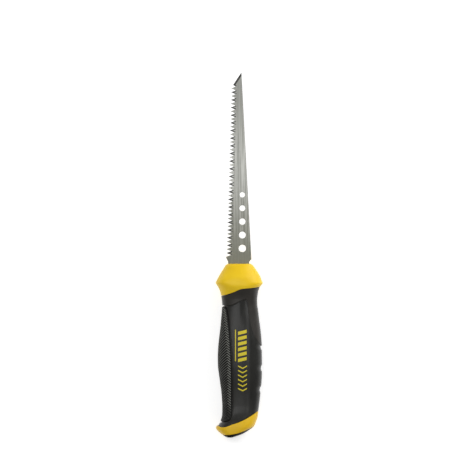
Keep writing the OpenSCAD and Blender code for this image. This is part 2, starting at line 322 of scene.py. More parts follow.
def make_piece(name, points, faces, materials, crease=35, merge=0.0, face_materials=None,
               turn_outward=False, crest=None):
    """Object from points in millimetres around the mid-plane. faces is a list of index arrays,
    edges sharper than crease degrees stay sharp, and points closer than merge are joined."""
    points = np.asarray(points, float).reshape(-1, 3)
    if signed_volume(points, faces) < 0:
        faces = [np.asarray(f)[..., ::-1] for f in faces]
    mesh = bpy.data.meshes.new(name)
    placed = (points + (0, 0, MID_Z)) * MM
    polygons = [tuple(int(i) for i in face) for group in faces for face in group]
    mesh.from_pydata(placed.tolist(), [], polygons)
    if face_materials is not None:
        mesh.polygons.foreach_set("material_index", np.asarray(face_materials, np.int32))
    if crest is not None:
        layer = mesh.attributes.new("crest", "FLOAT", "POINT")
        layer.data.foreach_set("value", np.asarray(crest, np.float32).ravel())
    if merge or turn_outward:
        bm = bmesh.new()
        bm.from_mesh(mesh)
        if merge:
            bmesh.ops.remove_doubles(bm, verts=bm.verts, dist=merge * MM)
            bmesh.ops.dissolve_degenerate(bm, edges=bm.edges, dist=1e-7)
        if turn_outward:
            bmesh.ops.recalc_face_normals(bm, faces=bm.faces)
        bm.to_mesh(mesh)
        bm.free()
    for m in materials:
        mesh.materials.append(m)
    if crease:
        mesh.shade_smooth()
        mesh.set_sharp_from_angle(angle=math.radians(crease))
    else:
        mesh.shade_flat()
    obj = bpy.data.objects.new(name, mesh)
    bpy.context.scene.collection.objects.link(obj)
    return obj


def place(piece, slot, *nodes):
    """Fixes the piece to the saw, in the stead of its CAD node; slot is not used."""
    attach(piece, "root")
    if nodes:
        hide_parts(*nodes)
    return piece


def ring_piece(name, rings, materials, crease=35):
    """Closed ring: rings is [rows, columns, 3], joined on itself both ways."""
    rows, columns = rings.shape[:2]
    return make_piece(name, rings, [grid_faces(rows, columns, True, True)], materials, crease)


def shell_faces(outer, inner):
    """Points and faces of a closed shell between an outer and an inner grid."""
    rows, columns = outer.shape[:2]
    inside = rows * columns
    index = np.arange(inside).reshape(rows, columns)
    faces = [grid_faces(rows, columns), grid_faces(rows, columns, first=inside)[:, ::-1]]
    for e in (index[0], index[:, -1], index[-1][::-1], index[::-1, 0]):
        faces.append(np.stack([e[:-1], e[1:], e[1:] + inside, e[:-1] + inside], -1))
    points = np.concatenate([outer.reshape(-1, 3), inner.reshape(-1, 3)])
    if signed_volume(points, faces) < 0:
        faces = [f[:, ::-1] for f in faces]
    return points, faces


BORDER_STEP = 0.08          # spacing of the border's points when distances are taken


def distances(points, border):
    """Distance of each grid point from a border line of points."""
    fine = []
    for a, b in zip(border[:-1], border[1:]):
        count = max(int(np.linalg.norm(b - a) / BORDER_STEP), 1)
        fine.append(a + (b - a) * np.linspace(0, 1, count, endpoint=False)[:, None])
    fine = np.concatenate(fine + [border[-1:]])
    tree = kdtree.KDTree(len(fine))
    for i, p in enumerate(fine):
        tree.insert(p, i)
    tree.balance()
    flat = points.reshape(-1, 3)
    return np.array([tree.find(p)[2] for p in flat]).reshape(points.shape[:-1])


def even_columns(dense, line, count):
    """Column parameters spread evenly along a line of points, one point for each dense value."""
    steps = np.linalg.norm(np.diff(line, axis=0), axis=1)
    lengths = np.concatenate([[0], np.cumsum(steps)])
    return np.interp(np.linspace(0, lengths[-1], count), lengths, dense)


# ---- materials --------------------------------------------

class Paint:
    """A node material under construction, in millimetres of the object's own space."""

    def __init__(self, name, metallic=0.0, specular=0.5):
        self.material = bpy.data.materials.new(name)
        self.material.use_nodes = True
        self.tree = self.material.node_tree
        self.tree.nodes.clear()
        self.shader = self.tree.nodes.new("ShaderNodeBsdfPrincipled")
        self.shader.inputs["Metallic"].default_value = metallic
        self.shader.inputs["Specular IOR Level"].default_value = specular
        out = self.tree.nodes.new("ShaderNodeOutputMaterial")
        self.tree.links.new(self.shader.outputs[0], out.inputs[0])
        self.coordinates = self.tree.nodes.new("ShaderNodeTexCoord")

    def link(self, a, b):
        self.tree.links.new(a, b)

    def noise(self, per_mm, detail=3.0, roughness=0.55):
        """Noise with per_mm = (x, y, z) features for each millimetre."""
        mapping = self.tree.nodes.new("ShaderNodeMapping")
        mapping.inputs["Scale"].default_value = [v / MM for v in per_mm]
        self.link(self.coordinates.outputs["Object"], mapping.inputs["Vector"])
        noise = self.tree.nodes.new("ShaderNodeTexNoise")
        noise.inputs["Scale"].default_value = 1.0
        noise.inputs["Detail"].default_value = detail
        noise.inputs["Roughness"].default_value = roughness
        self.link(mapping.outputs[0], noise.inputs["Vector"])
        return noise.outputs["Fac"]

    def position_along(self, axis):
        """Position along X, Y or Z, in metres."""
        node = self.tree.nodes.new("ShaderNodeSeparateXYZ")
        self.link(self.coordinates.outputs["Object"], node.inputs[0])
        return node.outputs[axis]

    def attribute(self, name):
        """A number stored on the mesh's points."""
        node = self.tree.nodes.new("ShaderNodeAttribute")
        node.attribute_type = "GEOMETRY"
        node.attribute_name = name
        return node.outputs["Fac"]

    def ramp(self, value, *stops):
        """Colour ramp with stops (position, colour)."""
        node = self.tree.nodes.new("ShaderNodeValToRGB")
        elements = node.color_ramp.elements
        while len(elements) < len(stops):
            elements.new(0.5)
        for element, (position, colour) in zip(elements, stops):
            element.position = position
            element.color = (*colour, 1)
        self.link(value, node.inputs["Fac"])
        return node.outputs["Color"]

    def spread(self, value, low, high, start=0.3, end=0.7):
        """The value mapped from start..end to low..high."""
        node = self.tree.nodes.new("ShaderNodeMapRange")
        node.inputs["From Min"].default_value = start
        node.inputs["From Max"].default_value = end
        node.inputs["To Min"].default_value = low
        node.inputs["To Max"].default_value = high
        self.link(value, node.inputs["Value"])
        return node.outputs["Result"]

    def mix(self, factor, a, b):
        """Mix of a and b, which are sockets or colours."""
        node = self.tree.nodes.new("ShaderNodeMix")
        node.data_type = "RGBA"
        for key, value in (("Factor", factor), ("A", a), ("B", b)):
            socket = next(s for s in node.inputs if s.name == key and s.enabled)
            if isinstance(value, tuple):
                socket.default_value = (*value, 1)
            else:
                self.link(value, socket)
        return next(s for s in node.outputs if s.enabled)

    def colour(self, socket):
        self.link(socket, self.shader.inputs["Base Color"])

    def rough(self, socket):
        self.link(socket, self.shader.inputs["Roughness"])

    def bump(self, height, depth):
        """Bump of depth millimetres, on top of any bump made before."""
        node = self.tree.nodes.new("ShaderNodeBump")
        node.inputs["Strength"].default_value = 1.0
        node.inputs["Distance"].default_value = depth * MM
        self.link(height, node.inputs["Height"])
        normal = self.shader.inputs["Normal"]
        if normal.is_linked:
            self.link(normal.links[0].from_socket, node.inputs["Normal"])
        self.link(node.outputs["Normal"], normal)


def steel_plate():
    """Satin steel with bands and streaks along the blade, and painted shade that darkens the heel and
    the point.
    """
    p = Paint("steel_plate", metallic=0.85)
    streaks = p.noise((5, 0.06, 1), detail=4)
    clouds = p.noise((0.07, 0.02, 0.05), detail=2)
    fine = p.noise((16, 0.5, 2), detail=2)
    bands = p.noise((1.1, 0.02, 1), detail=3, roughness=0.6)
    base = p.ramp(bands, (0.38, (0.19, 0.193, 0.175)), (0.62, (0.56, 0.563, 0.53)))
    base = p.mix(p.spread(streaks, 0.0, 0.4), base, (0.20, 0.202, 0.185))
    toned = p.mix(p.spread(clouds, 0.0, 0.35), base, (0.25, 0.252, 0.23))
    # Shares of the painted shade at the heel and the point, over the position along the blade in
    # metres.
    heel = p.spread(p.position_along("Y"), 0.9, 0.0, 0.0, 0.055)
    point = p.spread(p.position_along("Y"), 0.0, 0.75, 0.07, 0.115)
    toned = p.mix(point, p.mix(heel, toned, (0.13, 0.13, 0.10)), (0.21, 0.2125, 0.194))
    p.colour(toned)
    p.rough(p.spread(fine, 0.34, 0.5))
    p.bump(streaks, 0.012)
    p.bump(fine, 0.006)
    return p.material


def steel_ground():
    """Steel of the ground tooth flanks and of the plunge edge, with marks of the wheel, painted dark
    for the shade and dark reflection these faces show.
    """
    p = Paint("steel_ground", metallic=0.85)
    wheel = p.noise((3, 9, 3), detail=3)
    p.colour(p.ramp(wheel, (0.3, (0.03, 0.03, 0.028)), (0.7, (0.085, 0.085, 0.08))))
    p.rough(p.spread(wheel, 0.35, 0.5))
    p.bump(wheel, 0.01)
    return p.material


def yellow_plastic(name, deep, bright):
    """Satin yellow moulding with a spark-eroded surface, from a deep to a bright yellow."""
    p = Paint(name, specular=0.25)
    clouds = p.noise((0.06, 0.06, 0.06), detail=2)
    spark = p.noise((5, 5, 5), detail=4, roughness=0.6)
    base = p.ramp(clouds, (0.35, deep), (0.65, bright))
    p.colour(p.mix(p.spread(spark, 0.0, 0.12), base, tuple(v * 0.7 for v in deep)))
    p.rough(p.spread(spark, 0.34, 0.48))
    p.bump(spark, 0.02)
    return p.material


def rubber(name, dark, light, low, high, specular=0.28):
    """Moulded rubber: fine grain of roughness low to high, and faint mottling."""
    p = Paint(name, specular=specular)
    mottle = p.noise((0.15, 0.08, 0.15), detail=3)
    grain = p.noise((7, 7, 7), detail=4, roughness=0.65)
    base = p.ramp(mottle, (0.35, dark), (0.65, light))
    p.colour(p.mix(p.spread(grain, 0.0, 0.25), base, tuple(v * 0.6 for v in dark)))
    p.rough(p.spread(grain, low, high))
    p.bump(grain, 0.03)
    return p.material


def textured_rubber():
    """Rubber with painted highlights on the ribs' crests and painted shade between the ribs."""
    p = Paint("textured_rubber", specular=0.24)
    grain = p.noise((7, 7, 7), detail=4, roughness=0.65)
    mottle = p.noise((0.2, 0.1, 0.2), detail=3)
    crest = p.attribute("crest")
    # The crest attribute sets the painted highlight on the crests and the painted shade between the
    # ribs.
    base = p.ramp(crest, (0.3, (0.003, 0.003, 0.0025)), (0.58, (0.028, 0.028, 0.025)),
                  (0.95, (0.27, 0.272, 0.245)))
    p.colour(p.mix(p.spread(mottle, 0.0, 0.25), base, (0.010, 0.010, 0.009)))
    p.rough(p.spread(grain, 0.42, 0.6))
    p.bump(grain, 0.03)
    return p.material


def core_plastic():
    """Glass-filled black plastic with faint fibres."""
    p = Paint("core_plastic", specular=0.4)
    fibres = p.noise((3, 0.4, 3), detail=4)
    p.colour(p.ramp(fibres, (0.35, (0.018, 0.018, 0.019)), (0.7, (0.05, 0.05, 0.05))))
    p.rough(p.spread(fibres, 0.42, 0.6))
    p.bump(fibres, 0.02)
    return p.material


def zinc():
    """Zinc plating, faintly clouded, with turning marks."""
    p = Paint("zinc", metallic=0.9)
    clouds = p.noise((0.5, 0.5, 0.5), detail=3)
    turning = p.noise((2, 2, 9), detail=2)
    p.colour(p.ramp(clouds, (0.35, (0.52, 0.52, 0.50)), (0.65, (0.68, 0.68, 0.65))))
    p.rough(p.spread(turning, 0.25, 0.42))
    p.bump(turning, 0.008)
    return p.material


def printed_yellow():
    """Yellow ink on the grip, slightly worn."""
    p = Paint("printed_yellow", specular=0.4)
    worn = p.noise((1.5, 1.5, 1.5), detail=4)
    p.colour(p.ramp(worn, (0.3, (0.61, 0.495, 0.014)), (0.65, (0.68, 0.565, 0.022))))
    p.rough(p.spread(worn, 0.45, 0.6))
    p.bump(worn, 0.01)
    return p.material


# ---- blade ------------------------------------------------

TIP_Y = 138.2
PLATE_HALF = 0.6
PLUNGE_Y = 126
PLUNGE_GRIND = 1.5          # width of the ground face along the plunge edge
EDGE_LEVEL = 0.2            # level that the edge takes the lean of the ground flanks from
TOOTH_PITCH = 2.9
TOOTH_DEPTH = 4.4
FIRST_GULLET_Y = 127.35
GULLETS = 45
FLANK_SHIFT = 0.42          # how far a leaning gullet moves along Y at the plate's faces
GULLET_HALF = 0.15
HEEL_Y = -1.7
EDGE_HALF = 0.1             # half thickness left at the ground edges
BREAK = 0.12                # broken edges of the plate
HOLES = [(2.4, 45.3 - 10.15 * i, 2 + 0.2 * i) for i in range(5)]    # X, Y, radius
TANG_END = -84
SHOULDER_Y = -3.5           # where the back's corner at the heel is cut off
BOLT_YS = (-34, -56, -78)
SLEEVE_R = 2.55


def back_x(y):
    """X of the blade's back."""
    return 9.1 - 0.053 * y


def points_x(y):
    """X of the line through the points of the teeth."""
    return -9.8 + 0.028 * y


def cross_point(a, a_way, b, b_way):
    """Where the line through a, along a_way, meets the line through b."""
    m = np.array([[a_way[0], -b_way[0]], [a_way[1], -b_way[1]]])
    t = np.linalg.solve(m, np.array(b) - np.array(a))[0]
    return (a[0] + a_way[0] * t, a[1] + a_way[1] * t)


def tooth_row(level):
    """Corners of the teeth from the point to the heel and the slope of their flanks, in the plane
    at level (-1 lower face to 1 upper face). Every second gullet leans the other way, so the teeth
    are ground in turns."""
    slope = TOOTH_DEPTH / (TOOTH_PITCH / 2 - GULLET_HALF + FLANK_SHIFT)
    corners = []
    for i in range(GULLETS):
        y = FIRST_GULLET_Y - i * TOOTH_PITCH
        shift = level * FLANK_SHIFT * (1 if i % 2 == 0 else -1)
        root = points_x(y) + TOOTH_DEPTH
        corners.append((root, y + GULLET_HALF + shift))
        corners.append((root, y - GULLET_HALF + shift))
        tip_y = y - TOOTH_PITCH / 2
        run = y - GULLET_HALF + shift - tip_y
        if i < GULLETS - 1:
            corners.append((root - slope * run, tip_y))
    return corners, slope


def blade_loops():
    """Four matching outlines (upper face, upper and lower edge, lower face), and the number of
    their first points, which belong to the ground edges."""
    tip = (back_x(TIP_Y), TIP_Y)
    start = (points_x(PLUNGE_Y), PLUNGE_Y)
    way = np.array(start) - np.array(tip)
    way /= np.linalg.norm(way)
    inward = np.array([-way[1], way[0]])
    if inward[0] < 0:
        inward = -inward
    back_way = (back_x(0) - back_x(1), -1.0)
    upper = ((1, PLATE_HALF), (EDGE_LEVEL, EDGE_HALF))
    lower = ((-EDGE_LEVEL, -EDGE_HALF), (-1, -PLATE_HALF))
    loops = []
    for level, z in upper + lower:
        face = abs(level) == 1
        teeth, slope = tooth_row(level)
        grind = np.array(tip) + inward * (PLUNGE_GRIND if face else 0)
        inset = BREAK if face else 0
        back = (back_x(0) - inset, 0)
        point = cross_point(grind, way, back, back_way)
        shoulder = cross_point(grind, way, teeth[0], (-slope, 1.0))
        heel_x = points_x(HEEL_Y) + inset
        heel = [(heel_x, HEEL_Y + inset), (heel_x, HEEL_Y - 0.6)]
        tang = [
            (-8.4 + inset, -5.5 - inset), (-8.4 + inset, -14), (-7 + inset, -17),
            (-5 + inset, TANG_END + inset), (5 - inset, TANG_END + inset),
            (6.2 - inset, -17), (7.6 - inset, -14), (7.6 - inset, -5.5 - inset),
        ]
        shoulder_back = [(back_x(SHOULDER_Y) - inset, SHOULDER_Y - inset), (back_x(0) - inset, 0)]
        spine = [(back_x(y) - inset, y) for y in (30, 60, 90, 120)]
        outline = [point, shoulder] + teeth + heel + tang + shoulder_back + spine
        ground = 2 + len(teeth)
        plain_z = z if face else math.copysign(PLATE_HALF - BREAK, z)
        heights = [z] * ground + [plain_z] * (len(outline) - ground)
        loops.append(np.array([(x, y, h) for (x, y), h in zip(outline, heights)]))
    return loops, ground


def inside(points, polygon):
    """Which points lie inside a closed polygon."""
    x, y = points[:, 0], points[:, 1]
    result = np.zeros(len(points), bool)
    for (ax, ay), (bx, by) in zip(polygon, np.roll(polygon, -1, axis=0)):
        if ay != by:
            hit = ((ay > y) != (by > y)) & (x < (bx - ax) * (y - ay) / (by - ay) + ax)
            result ^= hit
    return result


def flat_face(outlines):
    """Triangles that fill the first outline less the others. Points keep their order."""
    points = np.concatenate(outlines)[:, :2]
    edges = []
    first = 0
    for outline in outlines:
        n = len(outline)
        edges += [(first + i, first + (i + 1) % n) for i in range(n)]
        first += n
    result = geometry.delaunay_2d_cdt([tuple(p) for p in points], edges, [], 0, 1e-6)
    verts, triangles, sources = result[0], result[2], result[3]
    assert len(verts) == len(points)
    to_source = np.array([s[0] for s in sources])
    triangles = to_source[np.array(triangles)]
    centres = points[triangles].mean(axis=1)
    keep = inside(centres, outlines[0][:, :2])
    for hole in outlines[1:]:
        keep &= ~inside(centres, hole[:, :2])
    return triangles[keep]


def circle(x, y, radius, z):
    t = np.linspace(0, TURN, 48, endpoint=False)
    return np.stack([x + radius * np.cos(t), y + radius * np.sin(t), 0 * t + z], axis=-1)


def bore_loops(x, y, radius):
    """Four circles of a bore with broken edges, to match the blade's four outlines."""
    levels = ((BREAK, PLATE_HALF), (0, PLATE_HALF - BREAK),
              (0, BREAK - PLATE_HALF), (BREAK, -PLATE_HALF))
    return [circle(x, y, radius + wider, z) for wider, z in levels]


def make_blade(plate, ground):
    """Plate with its outline, holes and the tang's bores. The faces of the teeth and of the plunge
    edge have the ground steel."""
    loops, ground_end = blade_loops()
    bores = HOLES + [(0, y, SLEEVE_R) for y in BOLT_YS]
    rings = [loops] + [bore_loops(*bore) for bore in bores]
    starts = []
    total = 0
    for ring in rings:
        starts.append([])
        for loop in ring:
            starts[-1].append(total)
            total += len(loop)
    points = np.concatenate([loop for ring in rings for loop in ring])
    faces, kinds = [], []

    def add(group, kind):
        faces.append(group)
        kinds.append(np.zeros(len(group), int) + kind)

    for level, flip in ((0, False), (3, True)):
        filled = flat_face([ring[level] for ring in rings])
        lookup = np.concatenate([starts[k][level] + np.arange(len(ring[level]))
                                 for k, ring in enumerate(rings)])
        triangles = lookup[filled]
        a, b, c = (points[triangles[:, k]][:, :2] for k in range(3))
        upward = (b[:, 0] - a[:, 0]) * (c[:, 1] - a[:, 1]) > (b[:, 1] - a[:, 1]) * (c[:, 0] - a[:, 0])
        add(np.where((upward != flip)[:, None], triangles, triangles[:, ::-1]), 0)
    for k, ring in enumerate(rings):
        n = len(ring[0])
        i = np.arange(n)
        j = (i + 1) % n
        is_ground = (i < ground_end).astype(int) if k == 0 else 0
        for level in range(3):
            a, b = starts[k][level], starts[k][level + 1]
            quads = np.stack([a + i, b + i, b + j, a + j], axis=-1)
            if k:
                quads = quads[:, ::-1]
            add(quads, is_ground)
    return make_piece("blade_steel", points, faces, [plate, ground], crease=0,
                      face_materials=np.concatenate(kinds), turn_outward=True)


# ---- handle's pieces --------------------------------------

RING_COLUMNS = 192          # points round the bolster, the pommel and the cap
LIP_R = 0.9                 # rounding of the bolster's front lip
LIP_SHRINK = LIP_R / STATIONS[0][2]     # share of the rim's size that the lip takes
SLOT_BACK_Y = -9.6          # how deep the blade's slot goes into the bolster
CREASE_X = 0.9              # faint crease down the middle of the bolster's faces
CREASE_DEPTH = 0.3
CREASE_REACH = 7.0


def ring_angles():
    return np.linspace(0, TURN, RING_COLUMNS, endpoint=False)


def level_skin(angle, y, lift):
    """The surface at a lift that is the same all over."""
    return skin(angle, y, np.full(np.broadcast(angle, y).shape, lift))


def slot_outline(angle, half_x, half_z, centre_x):
    """Outline of the blade's slot, with points matched to the angles round the bolster."""
    power = 9
    c, s = np.cos(angle), np.sin(angle)
    # The slot is far wider than high, so its points are spread along its length.
    along = np.sign(c) * np.abs(c) ** 0.9
    up = (1 - np.abs(along) ** power) ** (1 / power)
    return np.stack([centre_x + half_x * along, 0 * along, half_z * up * np.sign(s)], axis=-1)


def at_height(ring, y):
    """The same ring at another Y."""
    moved = ring.copy()
    moved[:, 1] = y
    return moved


def bolster_crease(points):
    """How far the bolster's faces fall away to both sides of the crease."""
    x, y = points[..., 0], points[..., 1]
    fall = share(np.abs(x - CREASE_X), 0, CREASE_REACH)
    middle = eased(np.abs(x), 13, 8)
    return CREASE_DEPTH * fall * middle * share(y, -8, -12) * share(y, -24, -20)


def make_bolster(material):
    """Flared guard: slot, front face, rounded lip, outside and hollow inside."""
    angle = ring_angles()
    seam = crossing(angle, bolster_seam, BOLSTER_SPAN) + SEAM_GAP
    top = np.full(angle.shape, FRONT_Y)
    y, near = rows_between(top, seam, 46)
    y, near = y[len(EDGE_STEPS):], near[len(EDGE_STEPS):]
    outside = skin(angle, y, rounding(near) - bolster_crease(raw_skin(angle, y)))
    rim = skin(angle, top, 0.0)
    inner_y = np.linspace(0, 1, 14)[:, None] * (SLOT_BACK_Y - seam) + seam
    inner = level_skin(angle, inner_y, -WALL + 0.2)
    slot = slot_outline(angle, 8.2, 0.74, -0.4)
    slot_front = at_height(slot, FRONT_Y)
    face = []
    for t in (0.06, 0.25, 0.5, 0.75, 0.94):
        ring = slot_front * (1 - t) + rim * t * (1 - LIP_SHRINK * t)
        face.append(at_height(ring, FRONT_Y))
    # The lip is a flattened quarter round in place of the sharp end of the sections.
    lips = []
    for t in np.linspace(0, math.pi / 2, 6)[1:]:
        ring = rim * (1 - LIP_SHRINK * (1 - math.sin(t)))
        lips.append(at_height(ring, FRONT_Y - LIP_R * (1 - math.cos(t)) * 0.6))
    rings = [[at_height(slot, SLOT_BACK_Y), slot_front], face, lips, outside, inner]
    return ring_piece("bolster_shell", np.concatenate(rings), [material], crease=50)


def make_sleeve(material):
    """Rubber sleeve: the collar, its tail on the palm side, and the layer under the pads."""
    dense = np.linspace(0, TURN, 2400)
    line = skin(dense, crossing(dense, collar_edge, COLLAR_SPAN))
    angle = even_columns(dense, line, 240 + 1)[:-1]
    edge = crossing(angle, collar_edge, COLLAR_SPAN)
    top = crossing(angle, bolster_seam, BOLSTER_SPAN) - SEAM_GAP
    end = crossing(angle, pommel_seam, POMMEL_SPAN) + SEAM_GAP
    line = skin(angle, edge)
    # Where the edge runs steeply, the rows that round it lie further apart along Y.
    step = np.roll(line, -1, axis=0) - np.roll(line, 1, axis=0)
    level = np.linalg.norm(step[:, [0, 2]], axis=1)
    slant = np.minimum(np.linalg.norm(step, axis=1) / np.maximum(level, 1e-6), 9)
    y, near = rows_between(top, edge, 40, slant)
    collar = skin(angle, y, rounding(near) * tail_fade(raw_skin(angle, y)[..., 0]) - 0.05)
    t = np.linspace(0, 1, 40)[:, None]
    under = level_skin(angle, edge * (1 - t) + end * t, -UNDER_DROP)
    inner = level_skin(angle, end * (1 - t) + top * t, -WALL)
    return ring_piece("grip_sleeve_shell", np.concatenate([collar, under, inner]), [material])


RIB_PITCH = 1.95
RIB_HEIGHT = 0.6
RIB_BASE = -0.45            # level of the grooves between the ribs
PAD_EDGE_R = 0.45
RIB_APEX = 3.0              # distance from the groove where short and long ribs meet
SHORT_SLANT = 0.9
LONG_SLANT = 0.75


def ridge(turns):
    """Height of rounded ridges, one for each turn."""
    wave = 0.5 + 0.5 * np.cos(TURN * turns)
    return np.clip(1.25 * wave - 0.1, 0, 1)


def rib_pattern(across, y):
    """Height of the finger pad's moulded ribs, from 0 to 1: slanting ribs that meet short ones
    beside the groove, slightly crossed towards the butt."""
    short = y - SHORT_SLANT * across
    long = y - SHORT_SLANT * RIB_APEX + LONG_SLANT * (across - RIB_APEX)
    plain = ridge(np.where(across < RIB_APEX, short, long) / RIB_PITCH)
    diamond = plain * ridge((y - LONG_SLANT * across) / RIB_PITCH) * 1.1
    crossed = 0.35 * eased(y, -88, -98)
    return plain * (1 - crossed) + np.minimum(diamond, 1) * crossed


def make_finger_pad(material):
    rows, columns = 330, 112
    y = np.linspace(FINGER_TOP, FINGER_END, rows)
    y = np.concatenate([FINGER_TOP - EDGE_STEPS[:-1], y[2:-2], FINGER_END + EDGE_STEPS[-2::-1]])
    start = angle_at(finger_edge(y), y)
    s = np.linspace(0, 1, columns)
    s = np.concatenate([[0, 0.002, 0.006], s[1:-1], [0.994, 0.998, 1]])
    angle = start[:, None] + s[None, :] * (TURN - 2 * start[:, None])
    grid_y = np.broadcast_to(y[:, None], angle.shape)
    base = skin(angle, grid_y)
    border = np.concatenate([base[:, 0], base[-1], base[::-1, -1], base[0][::-1]])
    near = distances(base, border)
    arc = np.linalg.norm(np.diff(base, axis=1), axis=2).cumsum(axis=1)
    arc = np.concatenate([np.zeros((len(y), 1)), arc], axis=1)
    across = np.minimum(arc, arc[:, -1:] - arc)
    # The ribs end short of the border and are lower at the butt end.
    crest = rib_pattern(across, grid_y) * share(near, 0.35, 0.85)
    crest = crest * (1 - 0.45 * share(grid_y, -112, -122))
    outer = skin(angle, grid_y, RIB_BASE + RIB_HEIGHT * crest + rounding(near, PAD_EDGE_R))
    inner = level_skin(angle, grid_y, -PAD_DEPTH - 0.1)
    points, faces = shell_faces(outer, inner)
    # The painted highlight is brightest at the ends of the ribs beside the groove.
    painted_rib_light = (crest * (0.78 + 0.22 * share(across, 4, 1.5))).ravel()
    painted_rib_light = np.concatenate([painted_rib_light, 0 * painted_rib_light])
    return make_piece("finger_pad_shell", points, faces, [material], 60, crest=painted_rib_light)


PALM_NOTCHES = (-69.8, -86, -102)       # Y of their middles
NOTCH_DEPTH = 0.9
NOTCH_HALF = 3.0
NOTCH_REACH = 0.85          # how far the notches go round the section, in radians


def palm_columns(count):
    """Columns of the palm pad from border to border, close together at both."""
    s = np.linspace(0, 1, count)
    edge = np.array([0, 0.0006, 0.0016, 0.003, 0.005, 0.0075])
    return np.concatenate([edge, s[2:-2], (1 - edge)[::-1]])


def strip_angles(s):
    """Columns of the palm pad's strip below the finger pad, round the tooth side."""
    def angle_of(y):
        start = angle_at(palm_line(y), y)
        return start + s * (TURN - 2 * start)

    return angle_of


def above_pommel(x):
    """Lower edge of the palm pad."""
    return pommel_seam(x) + SEAM_GAP


def groove_border(strip_s):
    """The palm pad's border along the groove, from the upper face round to the lower one."""
    y = np.linspace(-37, CORNER_Y, 160)
    angle = angle_at(palm_line(y), y)
    angle_of = strip_angles(strip_s)
    top = meet(angle_of, groove_end, GROOVE_SPAN, strip_s.shape)
    upper = skin(angle, y, -PALM_DROP)
    lower = skin(-angle, y, -PALM_DROP)
    return np.concatenate([upper, skin(angle_of(top), top, -PALM_DROP), lower[::-1]])


def under_collar(x):
    """Upper edge of the palm pad, which leaves a groove open below the collar's step."""
    open_part = 1 - tail_fade_in(x)
    return collar_edge(x - 0.25 + 0.25 * open_part) + 0.3 - 0.9 * open_part


def pad_grid(angle_of, top, rows, border, meets_collar):
    """Closed shell of one part of the palm pad, from top down to the pommel."""
    end = meet(angle_of, above_pommel, POMMEL_SPAN, top.shape)
    near_top = top - EDGE_STEPS[:, None]
    near_end = end + EDGE_STEPS[::-1, None]
    t = np.linspace(0, 1, rows + 2)[1:-1, None]
    y = np.concatenate([near_top, near_top[-1] * (1 - t) + near_end[0] * t, near_end])
    angle = np.stack([angle_of(row) for row in y])
    x = raw_skin(angle, y)[..., 0]
    drop = palm_drop(x) + valley(x, y)
    base = skin(angle, y, -drop)
    near = np.minimum(distances(base, border), distances(base, base[-1]))
    if meets_collar:
        # The upper edge is rounded only where the groove is open.
        from_collar = distances(base, base[0]) + 2 * EDGE_R * tail_fade_in(base[..., 0])
        near = np.minimum(near, from_collar)
    lift = rounding(near) - drop
    side = np.clip(1 - (angle / NOTCH_REACH) ** 2, 0, 1)
    for notch in PALM_NOTCHES:
        dip = np.clip(1 - ((y - notch) / NOTCH_HALF) ** 2, 0, 1)
        lift = lift - NOTCH_DEPTH * dip ** 1.5 * side
    return shell_faces(skin(angle, y, lift), level_skin(angle, y, -PAD_DEPTH - PALM_DROP))


def make_palm_pad(material):
    """The pad over both faces and the palm side, and its strip below the finger pad."""
    dense = np.linspace(0, 1, 1600)
    dense_angle = strip_angles(dense)
    dense_top = meet(dense_angle, groove_end, GROOVE_SPAN, dense.shape)
    strip_s = even_columns(dense, skin(dense_angle(dense_top), dense_top), 150)
    border = groove_border(strip_s)
    palm_s = palm_columns(150)

    def palm_angle(y):
        return angle_at(palm_line(y), y) * (1 - 2 * palm_s)

    palm_top = meet(palm_angle, under_collar, COLLAR_SPAN, palm_s.shape)
    strip_angle = strip_angles(strip_s)
    strip_top = meet(strip_angle, groove_end, GROOVE_SPAN, strip_s.shape)
    palm, palm_faces = pad_grid(palm_angle, palm_top, 190, border, True)
    strip, strip_faces = pad_grid(strip_angle, strip_top, 24, border, False)
    points = np.concatenate([palm, strip])
    faces = palm_faces + [f + len(palm) for f in strip_faces]
    return make_piece("palm_pad_shell", points, faces, [material], 50)


def make_pommel(material):
    angle = ring_angles()
    top = crossing(angle, pommel_seam, POMMEL_SPAN) - SEAM_GAP
    end = crossing(angle, cap_seam, CAP_SPAN) + SEAM_GAP
    y, near = rows_between(top, end, 36)
    t = np.linspace(1, 0, 12)[:, None]
    outside = skin(angle, y, rounding(near))
    inner = level_skin(angle, top * (1 - t) + end * t, -2.2)
    return ring_piece("pommel_shell", np.concatenate([outside, inner]), [material], crease=50)


# Rings of the cap's end: share of the edge's size, and height over the butt. The last is a point.
CAP_END = ((0.9, 0.06), (0.6, 0.1), (0.3, 0.11), (0, 0.11))
CAP_THICK = 1.0
CAP_WALL = 1.4


def make_cap(material):
    """Thin cap over the pommel's end, closed in the middle."""
    angle = ring_angles()
    top = crossing(angle, cap_seam, CAP_SPAN) - SEAM_GAP
    t = np.concatenate([[0, 0.02, 0.06, 0.12, 0.2], np.linspace(0.3, 1, 14)])[:, None]
    y = top + (BUTT_Y - top) * t
    outside = skin(angle, y, rounding((top - y) * 1.2, 0.3) - 0.08)
    edge = raw_skin(angle, np.full(angle.shape, BUTT_Y))
    middle = np.array([(edge[:, 0].max() + edge[:, 0].min()) / 2, BUTT_Y, 0])
    ends = []
    for size, height in CAP_END:
        ends.append(at_height(middle + (edge - middle) * size, BUTT_Y - height))
    inner_y = top + (BUTT_Y + CAP_THICK - top) * np.linspace(1, 0, 10)[:, None]
    inner = level_skin(angle, inner_y, -CAP_WALL)
    back = [inner[0] * size + inner[0].mean(axis=0) * (1 - size) for size in (0, 0.35, 0.7)]
    rings = np.concatenate([outside, ends, back, inner])
    rows, columns = rings.shape[:2]
    faces = grid_faces(rows, columns, True, True)
    # No faces between the middle of the outside and the middle of the inside.
    last = len(outside) + len(ends) - 1
    faces = np.delete(faces, np.arange(last * columns, (last + 1) * columns), axis=0)
    return make_piece("butt_cap_shell", rings, [faces], [material], 50, merge=1e-4)


# ---- generic marks on the grip ----------------------------

MARK_RAISED = 0.07          # how far a mark stands above the palm pad
MARK_EDGE = 0.02            # the same at its edges
MARK_ROOT = -0.15           # its lower face, inside the pad


